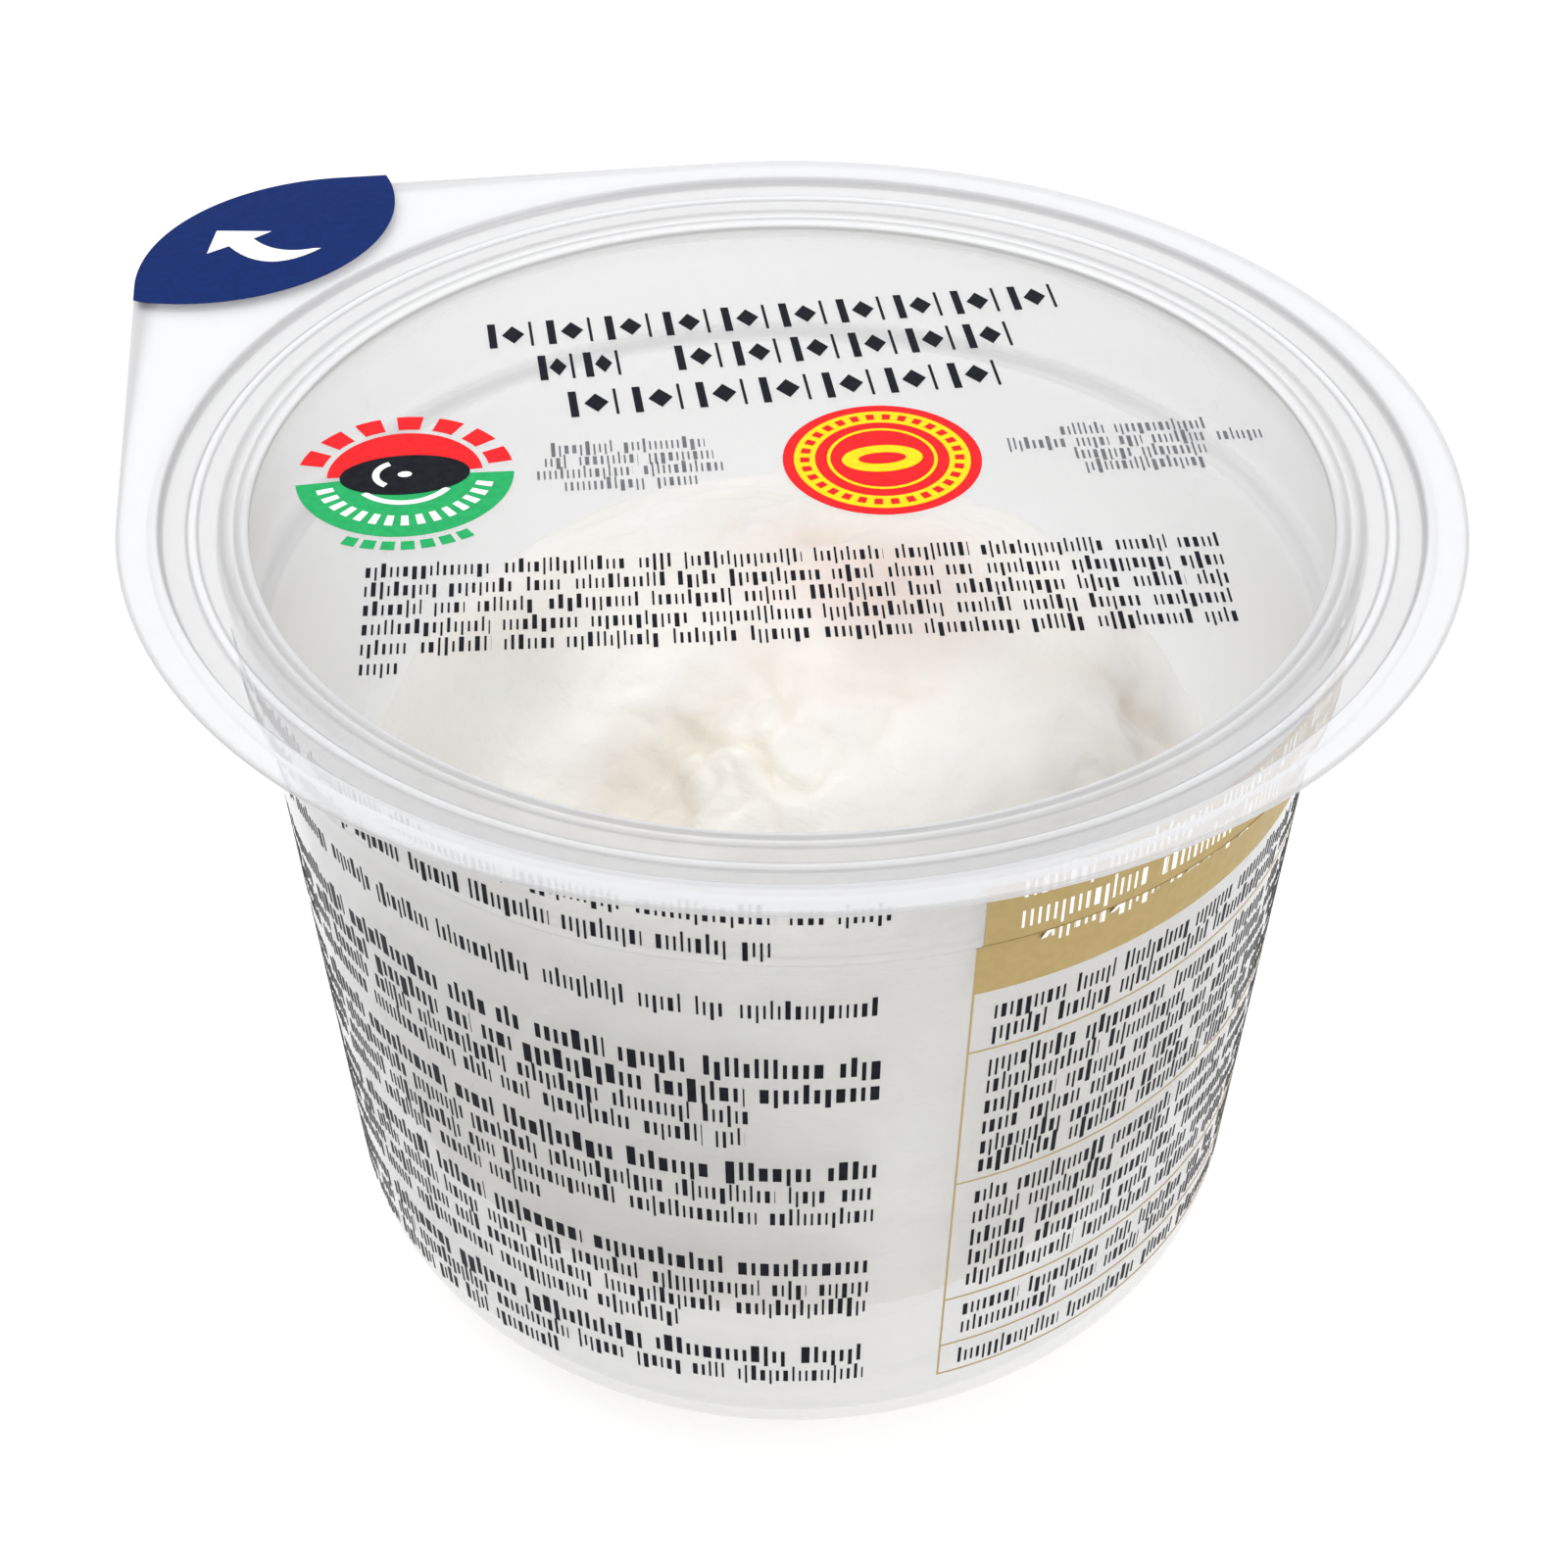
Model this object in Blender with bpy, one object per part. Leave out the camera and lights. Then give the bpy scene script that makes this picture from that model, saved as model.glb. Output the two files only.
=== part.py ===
"""A sealed tub of mozzarella: a clear round cup with a wide flange, a peel film over it, and one ball inside.

The origin is the centre of the foot ring's plane, +Z up. The flange and the film share one outline: a circle
whose -X +Y quarter runs out into a rounded corner, the peel tab. Units are metres.
"""

import math

import bmesh
import bpy
from mathutils import Vector, noise

MM = 0.001

# Outline shared by the flange and the film
FLANGE_RADIUS = 47.5 * MM
TAB_CORNER_RADIUS = 16.0 * MM

# Heights of the cup
FLANGE_TOP = 66.5 * MM
FLANGE_THICKNESS = 0.8 * MM
LEDGE_TOP = 65.7 * MM
STEP_TOP = 55.5 * MM
STEP_DROP = 0.6 * MM

# Inner radii of the cup, from the seal ledge down to the base
SEAL_INNER_RADIUS = 44.2 * MM
BEAD_RADIUS = 42.4 * MM
BEAD_HEIGHT = 0.25 * MM
BEAD_HALF_WIDTH = 0.35 * MM
MOUTH_RADIUS = 39.9 * MM
BAND_FOOT_RADIUS = 39.3 * MM
WALL_TOP_RADIUS = 38.2 * MM
WALL_FOOT_RADIUS = 34.6 * MM
ROLL_RADIUS = 1.0 * MM
WALL = 0.8 * MM

# Base of the cup
FILLET_RADIUS = 9.2 * MM
PANEL_RADIUS = 21.5 * MM
PANEL_SLOPE_WIDTH = 0.9 * MM
PANEL_LIFT = 0.7 * MM
FILLET_STEPS = 5
ROLL_STEPS = 2

# Film
FILM_GAP = 0.3 * MM
FILM_THICKNESS = 0.3 * MM

# Round steps: the columns of the turned shapes, closer together round the tab
TURN_STEP = 5.0
TAB_STEP = 2.5
TAB_FROM = 120.0
TAB_TO = 150.0

# Cheese
BALL_RADIUS = 34.0 * MM
BALL_HALF_HEIGHT = 29.2 * MM
BALL_POWER = 2.3
BALL_GAP = 0.3 * MM
BALL_FOOT_RADIUS = 17.0 * MM
BALL_COLUMNS = 52
BALL_ROWS = 26
UNEVEN_HEIGHT = 0.5 * MM
UNEVEN_SIZE = 15.0 * MM

# Swellings of the cheese: bearing and elevation in degrees, spread in degrees, height
LUMPS = (
    (170, 44, 20, 1.0 * MM),
    (20, 46, 18, 1.0 * MM),
    (-140, 40, 17, 1.1 * MM),
    (-62, 52, 13, 0.8 * MM),
    (-38, 36, 12, 1.0 * MM),
    (-88, 20, 22, 0.7 * MM),
    (95, 10, 24, 0.6 * MM),
)

# Creases of the cheese: bearing and elevation of both ends in degrees, half width in degrees, depth
CREASES = (
    (-112, 74, -131, 42, 6.5, 1.5 * MM),
    (-128, 50, -100, 44, 7.0, 1.1 * MM),
    (-22, 52, -14, 22, 6.0, 1.3 * MM),
    (-98, 70, -58, 70, 6.0, 0.8 * MM),
    (128, 46, 62, 52, 5.5, 0.9 * MM),
)


def clear_scene():
    for scene_object in list(bpy.data.objects):
        bpy.data.objects.remove(scene_object, do_unlink=True)


def principled(name, color, roughness, transmission=0.0):
    material = bpy.data.materials.new(name)
    material.use_nodes = True
    shader = material.node_tree.nodes["Principled BSDF"]
    shader.inputs["Base Color"].default_value = (*color, 1.0)
    shader.inputs["Roughness"].default_value = roughness
    shader.inputs["Metallic"].default_value = 0.0
    shader.inputs["Transmission Weight"].default_value = transmission
    return material


def add_object(name, builder, material, sharp_angle):
    """Turns the faces in builder into one shaded object of the scene."""
    bmesh.ops.recalc_face_normals(builder, faces=builder.faces)
    mesh = bpy.data.meshes.new(name)
    builder.to_mesh(mesh)
    builder.free()
    mesh.materials.append(material)
    mesh.shade_smooth()
    mesh.set_sharp_from_angle(angle=math.radians(sharp_angle))
    new_object = bpy.data.objects.new(name, mesh)
    bpy.context.scene.collection.objects.link(new_object)
    return new_object


def turn_angles():
    """Bearings in degrees of the turned shapes' columns."""
    angles = []
    angle = 0.0
    while angle < 360.0:
        angles.append(angle)
        in_tab = TAB_FROM <= angle < TAB_TO
        angle += TAB_STEP if in_tab else TURN_STEP
    return angles


def outline_radius(degrees):
    """Distance from the axis to the flange's edge: a circle, with a rounded corner between +Y and -X."""
    if not 90.0 < degrees < 180.0:
        return FLANGE_RADIUS
    across = -math.cos(math.radians(degrees))
    along = math.sin(math.radians(degrees))
    straight = FLANGE_RADIUS - TAB_CORNER_RADIUS
    reach = FLANGE_RADIUS / max(across, along)
    if min(across, along) * reach <= straight:
        return reach
    middle = straight * (across + along)
    return middle + math.sqrt(middle**2 - 2.0 * straight**2 + TAB_CORNER_RADIUS**2)


def arc(centre_r, centre_z, radius, start, end, steps):
    """Points of an arc in the profile's plane, between two angles in degrees."""
    points = []
    for i in range(steps + 1):
        angle = math.radians(start + (end - start) * i / steps)
        points.append((centre_r + radius * math.cos(angle), centre_z + radius * math.sin(angle)))
    return points


def wall_lean():
    """Degrees by which the lower wall leans outwards."""
    return math.degrees(math.atan2(WALL_TOP_RADIUS - WALL_FOOT_RADIUS, STEP_TOP - STEP_DROP))


def bowl_surface(offset, fillet):
    """Profile of the cup's floor and walls, from the axis out and up, offset outwards from the inner face."""
    drop = WALL - offset
    corner_r = WALL_FOOT_RADIUS + offset - fillet
    points = [
        (0.0, drop + PANEL_LIFT),
        (PANEL_RADIUS - PANEL_SLOPE_WIDTH, drop + PANEL_LIFT),
        (PANEL_RADIUS, drop),
    ]
    points += arc(corner_r, drop + fillet, fillet, -90.0, -wall_lean(), FILLET_STEPS)
    points += [
        (WALL_TOP_RADIUS + offset, STEP_TOP - STEP_DROP),
        (BAND_FOOT_RADIUS + offset, STEP_TOP),
    ]
    return points


def cup_profile():
    """Closed profile of the cup: the outer face up to the flange's edge, then the inner face down again."""
    roll_r = MOUTH_RADIUS + ROLL_RADIUS
    outer_roll = max(ROLL_RADIUS - WALL, 0.1 * MM)
    ledge_under = LEDGE_TOP - WALL
    outer = bowl_surface(WALL, FILLET_RADIUS)
    outer += arc(roll_r, ledge_under - outer_roll, outer_roll, 180.0, 90.0, ROLL_STEPS)
    outer += [
        (SEAL_INNER_RADIUS, ledge_under),
        (SEAL_INNER_RADIUS + WALL, FLANGE_TOP - FLANGE_THICKNESS),
        (FLANGE_RADIUS, FLANGE_TOP - FLANGE_THICKNESS),
        (FLANGE_RADIUS, FLANGE_TOP),
    ]
    inner = bowl_surface(0.0, FILLET_RADIUS - WALL)
    inner += arc(roll_r, LEDGE_TOP - ROLL_RADIUS, ROLL_RADIUS, 180.0, 90.0, ROLL_STEPS)
    inner += [
        (BEAD_RADIUS - BEAD_HALF_WIDTH, LEDGE_TOP),
        (BEAD_RADIUS, LEDGE_TOP + BEAD_HEIGHT),
        (BEAD_RADIUS + BEAD_HALF_WIDTH, LEDGE_TOP),
        (SEAL_INNER_RADIUS - BEAD_HALF_WIDTH, LEDGE_TOP),
        (SEAL_INNER_RADIUS, FLANGE_TOP),
    ]
    return outer + inner[::-1]


def turned(profile):
    """A closed solid turned from a profile that starts and ends on the axis. Its widest points follow the outline."""
    builder = bmesh.new()
    angles = turn_angles()
    first = builder.verts.new((0.0, 0.0, profile[0][1]))
    last = builder.verts.new((0.0, 0.0, profile[-1][1]))
    rings = []
    for radius, height in profile[1:-1]:
        ring = []
        for degrees in angles:
            reach = outline_radius(degrees) if radius >= FLANGE_RADIUS else radius
            bearing = math.radians(degrees)
            ring.append(builder.verts.new((reach * math.cos(bearing), reach * math.sin(bearing), height)))
        rings.append(ring)
    count = len(angles)
    for i in range(count):
        j = (i + 1) % count
        builder.faces.new((first, rings[0][j], rings[0][i]))
        builder.faces.new((last, rings[-1][i], rings[-1][j]))
        for below, above in zip(rings, rings[1:]):
            builder.faces.new((below[i], below[j], above[j], above[i]))
    return builder


def make_tub():
    material = principled("clear_tub", (0.86, 0.87, 0.89), 0.18, 0.9)
    return add_object("tub", turned(cup_profile()), material, 30.0)


def make_film():
    """The peel film: a thin flat plate with the flange's outline."""
    builder = bmesh.new()
    low = FLANGE_TOP + FILM_GAP
    corners = []
    for degrees in turn_angles():
        reach = outline_radius(degrees)
        bearing = math.radians(degrees)
        corners.append(builder.verts.new((reach * math.cos(bearing), reach * math.sin(bearing), low)))
    face = builder.faces.new(corners)
    lifted = bmesh.ops.extrude_face_region(builder, geom=[face])["geom"]
    top_corners = [item for item in lifted if isinstance(item, bmesh.types.BMVert)]
    bmesh.ops.translate(builder, verts=top_corners, vec=(0.0, 0.0, FILM_THICKNESS))
    material = principled("clear_film", (0.93, 0.94, 0.96), 0.12, 0.95)
    return add_object("lid_film", builder, material, 30.0)


def direction(bearing, elevation):
    """Unit vector at a bearing from +X and an elevation above level, both in degrees."""
    turn = math.radians(bearing)
    rise = math.radians(elevation)
    return Vector((math.cos(rise) * math.cos(turn), math.cos(rise) * math.sin(turn), math.sin(rise)))


def degrees_to_arc(point, start, end):
    """Angle in degrees between a unit vector and the nearest point of the arc from start to end."""
    across = end - start
    share = max(0.0, min(1.0, (point - start).dot(across) / across.length_squared))
    nearest = (start + across * share).normalized()
    return math.degrees(point.angle(nearest, 0.0))


def ball_relief(point):
    """How far the cheese stands out from its plain form in the direction of the unit vector point."""
    relief = UNEVEN_HEIGHT * noise.noise(point * (BALL_RADIUS / UNEVEN_SIZE))
    for bearing, elevation, spread, height in LUMPS:
        away = math.degrees(point.angle(direction(bearing, elevation), 0.0))
        relief += height * math.exp(-((away / spread) ** 2))
    for bearing_a, rise_a, bearing_b, rise_b, half_width, depth in CREASES:
        away = degrees_to_arc(point, direction(bearing_a, rise_a), direction(bearing_b, rise_b))
        relief -= depth * math.exp(-((away / half_width) ** 2))
    return relief


def ball_reach(point):
    """Distance from the cheese's middle to its surface in the direction of the unit vector point."""
    level = math.hypot(point.x, point.y) / BALL_RADIUS
    rise = abs(point.z) / BALL_HALF_HEIGHT
    plain = (level**BALL_POWER + rise**BALL_POWER) ** (-1.0 / BALL_POWER)
    return plain + ball_relief(point)


def make_ball():
    """The mozzarella ball: slumped, lumpy and creased, standing on a flat foot on the cup's floor."""
    builder = bmesh.new()
    floor = WALL + PANEL_LIFT + BALL_GAP
    middle = Vector((0.0, 0.0, floor + BALL_HALF_HEIGHT * (1.0 - (BALL_FOOT_RADIUS / BALL_RADIUS) ** BALL_POWER)
                     ** (1.0 / BALL_POWER)))
    rings = []
    for row in range(1, BALL_ROWS):
        elevation = -90.0 + 180.0 * row / BALL_ROWS
        ring = []
        for column in range(BALL_COLUMNS):
            point = direction(360.0 * column / BALL_COLUMNS, elevation)
            place = middle + point * ball_reach(point)
            place.z = max(place.z, floor)
            ring.append(builder.verts.new(place))
        rings.append(ring)
    up = Vector((0.0, 0.0, 1.0))
    top = builder.verts.new(middle + up * ball_reach(up))
    foot = builder.verts.new((0.0, 0.0, floor))
    for i in range(BALL_COLUMNS):
        j = (i + 1) % BALL_COLUMNS
        builder.faces.new((foot, rings[0][j], rings[0][i]))
        builder.faces.new((top, rings[-1][i], rings[-1][j]))
        for below, above in zip(rings, rings[1:]):
            builder.faces.new((below[i], below[j], above[j], above[i]))
    material = principled("mozzarella", (0.93, 0.91, 0.86), 0.38)
    return add_object("mozzarella_ball", builder, material, 60.0)


def main():
    clear_scene()
    make_tub()
    make_film()
    make_ball()


main()
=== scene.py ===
"""Looks of a packed mozzarella ball: a clear tub, a clear peel film with its tab, plain print and the cheese.

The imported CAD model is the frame. Everything below is in metres in the same frame: the origin is the centre
of the foot ring's plane, +Z up, and the peel tab's corner points towards -X +Y.
"""

import math
import random

import bpy
import numpy as np
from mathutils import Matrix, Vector, noise


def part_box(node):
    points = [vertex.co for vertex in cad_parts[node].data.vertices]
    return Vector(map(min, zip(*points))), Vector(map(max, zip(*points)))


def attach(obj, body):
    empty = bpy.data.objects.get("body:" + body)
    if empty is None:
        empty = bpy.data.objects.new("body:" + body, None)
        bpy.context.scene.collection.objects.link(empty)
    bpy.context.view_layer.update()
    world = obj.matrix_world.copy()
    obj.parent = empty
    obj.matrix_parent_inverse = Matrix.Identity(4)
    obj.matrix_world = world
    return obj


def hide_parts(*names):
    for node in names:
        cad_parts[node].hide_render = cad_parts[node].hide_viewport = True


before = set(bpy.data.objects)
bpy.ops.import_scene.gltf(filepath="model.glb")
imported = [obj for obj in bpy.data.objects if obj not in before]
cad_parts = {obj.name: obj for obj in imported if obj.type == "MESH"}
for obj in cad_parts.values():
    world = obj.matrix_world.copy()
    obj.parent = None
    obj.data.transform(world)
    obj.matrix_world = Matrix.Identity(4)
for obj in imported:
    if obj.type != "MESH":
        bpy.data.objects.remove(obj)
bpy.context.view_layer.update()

MM = 0.001
BODY = "root"

# ------------------------------------------------------ sizes, from the frame and the cup's own form

film_low, film_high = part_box("lid_film")
_, tub_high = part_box("tub")
ball_low, ball_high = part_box("mozzarella_ball")

EDGE_RADIUS = film_high.x
TAB_CORNER_RADIUS = 16.0 * MM
FLANGE_TOP = tub_high.z
FLANGE_THICKNESS = 0.4 * MM
LEDGE_TOP = FLANGE_TOP - 0.8 * MM
STEP_TOP = FLANGE_TOP - 11.0 * MM
STEP_DROP = 0.6 * MM
SEAL_INNER_RADIUS = 44.6 * MM
MOUTH_RADIUS = 39.9 * MM
BAND_FOOT_RADIUS = 39.3 * MM
WALL_TOP_RADIUS = 38.2 * MM
WALL_FOOT_RADIUS = 34.6 * MM
ROLL_RADIUS = 1.0 * MM
WALL = 0.8 * MM
FILLET_RADIUS = 9.2 * MM
PANEL_RADIUS = 21.5 * MM
PANEL_LIFT = 0.7 * MM
PANEL_SLOPE_WIDTH = 0.9 * MM

FILM_TOP = film_high.z
FILM_UNDER = film_low.z
FILM_RING_RADIUS = 20.0 * MM

# Beyond this radius the flange and the film spread out towards the tab
SPREAD_FROM = SEAL_INNER_RADIUS + 1.0 * MM

# Fineness of the turned pieces: columns round the axis, and the longest stretch of a profile
COLUMNS = 288
LONGEST_STRETCH = 2.0 * MM
FILLET_STEPS = 18


# ------------------------------------------------------ mesh helpers


def add_mesh(name, points, faces, material, sharp_angle=40.0):
    """One smooth-shaded mesh object from points and faces."""
    mesh = bpy.data.meshes.new(name)
    mesh.from_pydata([tuple(p) for p in points], [], faces)
    mesh.validate()
    mesh.update()
    mesh.materials.append(material)
    mesh.shade_smooth()
    if sharp_angle is not None:
        mesh.set_sharp_from_angle(angle=math.radians(sharp_angle))
    new_object = bpy.data.objects.new(name, mesh)
    bpy.context.scene.collection.objects.link(new_object)
    return new_object


def outline_radius(degrees):
    """Distance from the axis to the shared edge: a circle, with a rounded corner between +Y and -X."""
    degrees = degrees % 360.0
    if not 90.0 < degrees < 180.0:
        return EDGE_RADIUS
    across = -math.cos(math.radians(degrees))
    along = math.sin(math.radians(degrees))
    straight = EDGE_RADIUS - TAB_CORNER_RADIUS
    reach = EDGE_RADIUS / max(across, along)
    if min(across, along) * reach <= straight:
        return reach
    middle = straight * (across + along)
    return middle + math.sqrt(middle**2 - 2.0 * straight**2 + TAB_CORNER_RADIUS**2)


def arc(centre_r, centre_z, radius, start, end, steps):
    """Points of an arc in a profile's plane, between two angles in degrees."""
    angles = [math.radians(start + (end - start) * i / steps) for i in range(steps + 1)]
    return [(centre_r + radius * math.cos(a), centre_z + radius * math.sin(a)) for a in angles]


def refined(points, longest):
    """The same profile with points added so that no stretch is longer than longest."""
    fine = [points[0]]
    for start, end in zip(points, points[1:]):
        pieces = max(1, math.ceil(math.hypot(end[0] - start[0], end[1] - start[1]) / longest))
        for i in range(1, pieces + 1):
            fine.append(tuple(a + (b - a) * i / pieces for a, b in zip(start, end)))
    return fine


def turned_mesh(profile, columns, edge_from):
    """Points and faces of a solid turned from a profile that starts and ends on the axis.

    Profile points at or beyond edge_from follow the outline: they spread out towards the tab."""
    points = [(0.0, 0.0, profile[0][1]), (0.0, 0.0, profile[-1][1])]
    rings = profile[1:-1]
    for radius, height, _, _ in rings:
        for c in range(columns):
            degrees = 360.0 * c / columns
            reach = radius
            if radius > edge_from:
                share = (radius - edge_from) / (EDGE_RADIUS - edge_from)
                reach = radius + share * (outline_radius(degrees) - EDGE_RADIUS)
            bearing = math.radians(degrees)
            points.append((reach * math.cos(bearing), reach * math.sin(bearing), height))
    faces = []
    last = len(rings) - 1
    for c in range(columns):
        d = (c + 1) % columns
        faces.append((0, 2 + d, 2 + c))
        faces.append((1, 2 + last * columns + c, 2 + last * columns + d))
        for r in range(last):
            low, high = 2 + r * columns, 2 + (r + 1) * columns
            faces.append((low + c, low + d, high + d, high + c))
    return points, faces


def wall_lean():
    """Degrees by which the lower wall leans outwards."""
    return math.degrees(math.atan2(WALL_TOP_RADIUS - WALL_FOOT_RADIUS, STEP_TOP - STEP_DROP))


def bowl_surface(offset, fillet):
    """Profile of the cup's floor and walls, from the axis out and up, offset outwards from the inner face."""
    drop = WALL - offset
    corner_r = WALL_FOOT_RADIUS + offset - fillet
    points = [(0.0, drop + PANEL_LIFT), (PANEL_RADIUS - PANEL_SLOPE_WIDTH, drop + PANEL_LIFT)]
    points += [(PANEL_RADIUS, drop)]
    points += arc(corner_r, drop + fillet, fillet, -90.0, -wall_lean(), FILLET_STEPS)
    top_r = WALL_TOP_RADIUS + offset
    band_r = BAND_FOOT_RADIUS + offset
    ledge_low = STEP_TOP - STEP_DROP
    points += [(top_r, ledge_low - 0.35 * MM), (top_r + 0.1 * MM, ledge_low - 0.1 * MM)]
    points += [(top_r + 0.35 * MM, ledge_low + 0.05 * MM), (band_r - 0.25 * MM, STEP_TOP - 0.1 * MM)]
    points += [(band_r, STEP_TOP + 0.25 * MM)]
    return points


# The rim's upper face from the wall out to the flange: radius and height in mm, milkiness and tone.
# A tone of 0 is painted shade: the dark line that a tight bend shows by refraction; 0.5 is the wall and 1 the
# sealed flange.
RIM_FACE = (
    (39.75, 63.3, 0.13, 0.5),
    (39.25, 64.1, 0.15, 0.45),
    (38.65, 64.75, 0.2, 0.4),
    (38.42, 65.06, 0.75, 0.0),
    (38.44, 65.24, 0.75, 0.0),
    (38.6, 65.4, 0.3, 1.0),
    (38.85, 65.46, 0.3, 1.0),
    (39.1, 65.49, 0.15, 0.4),
    (39.25, 65.5, 0.45, 0.1),
    (39.42, 65.51, 0.45, 0.1),
    (39.6, 65.52, 0.3, 1.0),
    (39.9, 65.56, 0.15, 0.5),
    (40.2, 65.6, 0.5, 0.05),
    (40.42, 65.66, 0.5, 0.05),
    (40.65, 65.7, 0.15, 0.5),
    (41.75, 65.7, 0.15, 0.5),
    (41.85, 65.7, 0.55, 0.05),
    (41.98, 65.74, 0.55, 0.05),
    (42.12, 65.88, 0.35, 1.0),
    (42.3, 65.95, 0.35, 1.0),
    (42.48, 65.88, 0.35, 1.0),
    (42.62, 65.74, 0.55, 0.05),
    (42.75, 65.7, 0.55, 0.05),
    (42.9, 65.7, 0.15, 0.5),
    (44.2, 65.7, 0.15, 0.5),
    (44.38, 65.76, 0.6, 0.05),
    (44.55, 66.1, 0.65, 0.0),
    (44.62, 66.4, 0.5, 0.2),
    (44.8, 66.5, 0.3, 1.0),
)

# Milkiness and tone of the plain parts
FLANGE_LOOK = (0.3, 1.0)
# The edge's low tone is painted shade: the dark line of the flange's rounded edge.
EDGE_LOOK = (0.6, 0.3)
LEDGE_LOOK = (0.12, 0.7)
FILM_LOOK = (0.0, 0.5)
# The step's low tone is painted shade: a dark line in the wall's step.
STEP_LOOK = (0.3, 0.25)
STEP_LOOK_HEIGHT = 0.8 * MM
BODY_TONE = 0.5
WALL_MILK = 0.13
WALL_MILK_FROM = 28.0 * MM
WALL_MILK_RISE = 22.0 * MM
# Painted light at the cup's foot: less milk and a whiter tone towards the floor.
FOOT_CLEARNESS = 0.3
FOOT_HEIGHT = 10.0 * MM

# The rim's underside and the flange's edge
UNDER_ROLL = 0.2 * MM
UNDER_SLOPE = (0.5 * MM, 0.25 * MM)
EDGE_LAND = 0.2 * MM


def wall_look(height):
    """Milkiness and tone of the wall: clearer and whiter at the foot as painted light, milkier higher up, and
    a painted dark line in the step.
    """
    # Painted shade in the step, painted light towards the foot.
    if STEP_TOP - STEP_LOOK_HEIGHT < height < STEP_TOP:
        return STEP_LOOK
    milk = WALL_MILK * min(max((height - WALL_MILK_FROM) / WALL_MILK_RISE, 0.0), 1.0)
    foot = 1.0 - min(height / FOOT_HEIGHT, 1.0) ** 2
    return milk - FOOT_CLEARNESS * foot, BODY_TONE + (1.0 - BODY_TONE) * foot


def wall_points(offset, fillet):
    """The floor's and wall's part of the cup's profile, with its look."""
    return [(r, z, *wall_look(z)) for r, z in refined(bowl_surface(offset, fillet), LONGEST_STRETCH)]


def cup_profile():
    """The cup's closed profile, with its look: the outer face up to the edge, then the inner face down."""
    ledge_under = LEDGE_TOP - WALL
    flange_under = FLANGE_TOP - FLANGE_THICKNESS
    edge_round = FLANGE_THICKNESS / 2.0
    edge_r = EDGE_RADIUS - edge_round
    land_r = edge_r - EDGE_LAND
    slope_r, slope_z = UNDER_SLOPE
    under = arc(MOUTH_RADIUS + ROLL_RADIUS, ledge_under - UNDER_ROLL, UNDER_ROLL, 180.0, 90.0, 4)
    under += [(SEAL_INNER_RADIUS, ledge_under), (SEAL_INNER_RADIUS + slope_r, ledge_under + slope_z)]
    edge = arc(edge_r, flange_under + edge_round, edge_round, -90.0, 90.0, 6)
    outer = wall_points(WALL, FILLET_RADIUS)
    outer += [(r, z, *LEDGE_LOOK) for r, z in under]
    outer += [(r, flange_under, *FLANGE_LOOK) for r in (SEAL_INNER_RADIUS + WALL, land_r)]
    outer += [(r, z, *EDGE_LOOK) for r, z in edge]
    inner = wall_points(0.0, FILLET_RADIUS - WALL)
    inner += [(r * MM, z * MM, milk, tone) for r, z, milk, tone in RIM_FACE]
    inner += [(land_r, FLANGE_TOP, *FLANGE_LOOK)]
    return refined(outer, LONGEST_STRETCH) + refined(inner, LONGEST_STRETCH)[::-1]


def outer_wall_radius(height):
    """Radius of the cup's outer face at a height, on the lower wall or on the band above the step."""
    if height >= STEP_TOP:
        share = (height - STEP_TOP) / (LEDGE_TOP - WALL - STEP_TOP)
        return BAND_FOOT_RADIUS + WALL + share * (MOUTH_RADIUS - BAND_FOOT_RADIUS)
    foot = FILLET_RADIUS * (1.0 - math.sin(math.radians(wall_lean())))
    foot_r = WALL_FOOT_RADIUS + WALL - FILLET_RADIUS * (1.0 - math.cos(math.radians(wall_lean())))
    if height >= foot:
        share = (height - foot) / (STEP_TOP - STEP_DROP - foot)
        return foot_r + share * (WALL_TOP_RADIUS + WALL - foot_r)
    drop = FILLET_RADIUS - height
    return WALL_FOOT_RADIUS + WALL - FILLET_RADIUS + math.sqrt(max(FILLET_RADIUS**2 - drop**2, 0.0))


# ------------------------------------------------------ materials


EDGE_POWER = 2.2
# Painted shade: the colour of the dark lines at bends, edges and the step, standing in for refraction.
PAINTED_BEND_SHADE = (0.4, 0.4, 0.405)
# Whiter colour of the sealed flange, also used as painted light at the cup's foot.
SEALED_AND_PAINTED_LIGHT_COLOUR = (0.82, 0.825, 0.84)


def new_material(name):
    material = bpy.data.materials.new(name)
    material.use_nodes = True
    tree = material.node_tree
    tree.nodes.clear()
    return material, tree


def node(tree, kind, **values):
    """A node with its inputs set by name. A key of the form _name sets the node's own property instead."""
    made = tree.nodes.new(kind)
    for key, value in values.items():
        if key.startswith("_"):
            setattr(made, key[1:], value)
        else:
            made.inputs[key.replace("_", " ")].default_value = value
    return made


def noise_texture(tree, scale, detail, roughness=0.5):
    """Fractal noise in object coordinates; scale is in cycles per metre."""
    coords = node(tree, "ShaderNodeTexCoord")
    texture = node(tree, "ShaderNodeTexNoise", Scale=scale, Detail=detail, Roughness=roughness)
    tree.links.new(coords.outputs["Object"], texture.inputs["Vector"])
    return texture


def ramp(tree, source, stops):
    """A colour ramp on source, from pairs of position and colour."""
    made = node(tree, "ShaderNodeValToRGB")
    elements = made.color_ramp.elements
    for i, (position, colour) in enumerate(stops):
        element = elements[i] if i < 2 else elements.new(position)
        element.position = position
        element.color = (*colour, 1.0)
    tree.links.new(source, made.inputs["Fac"])
    return made


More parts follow.
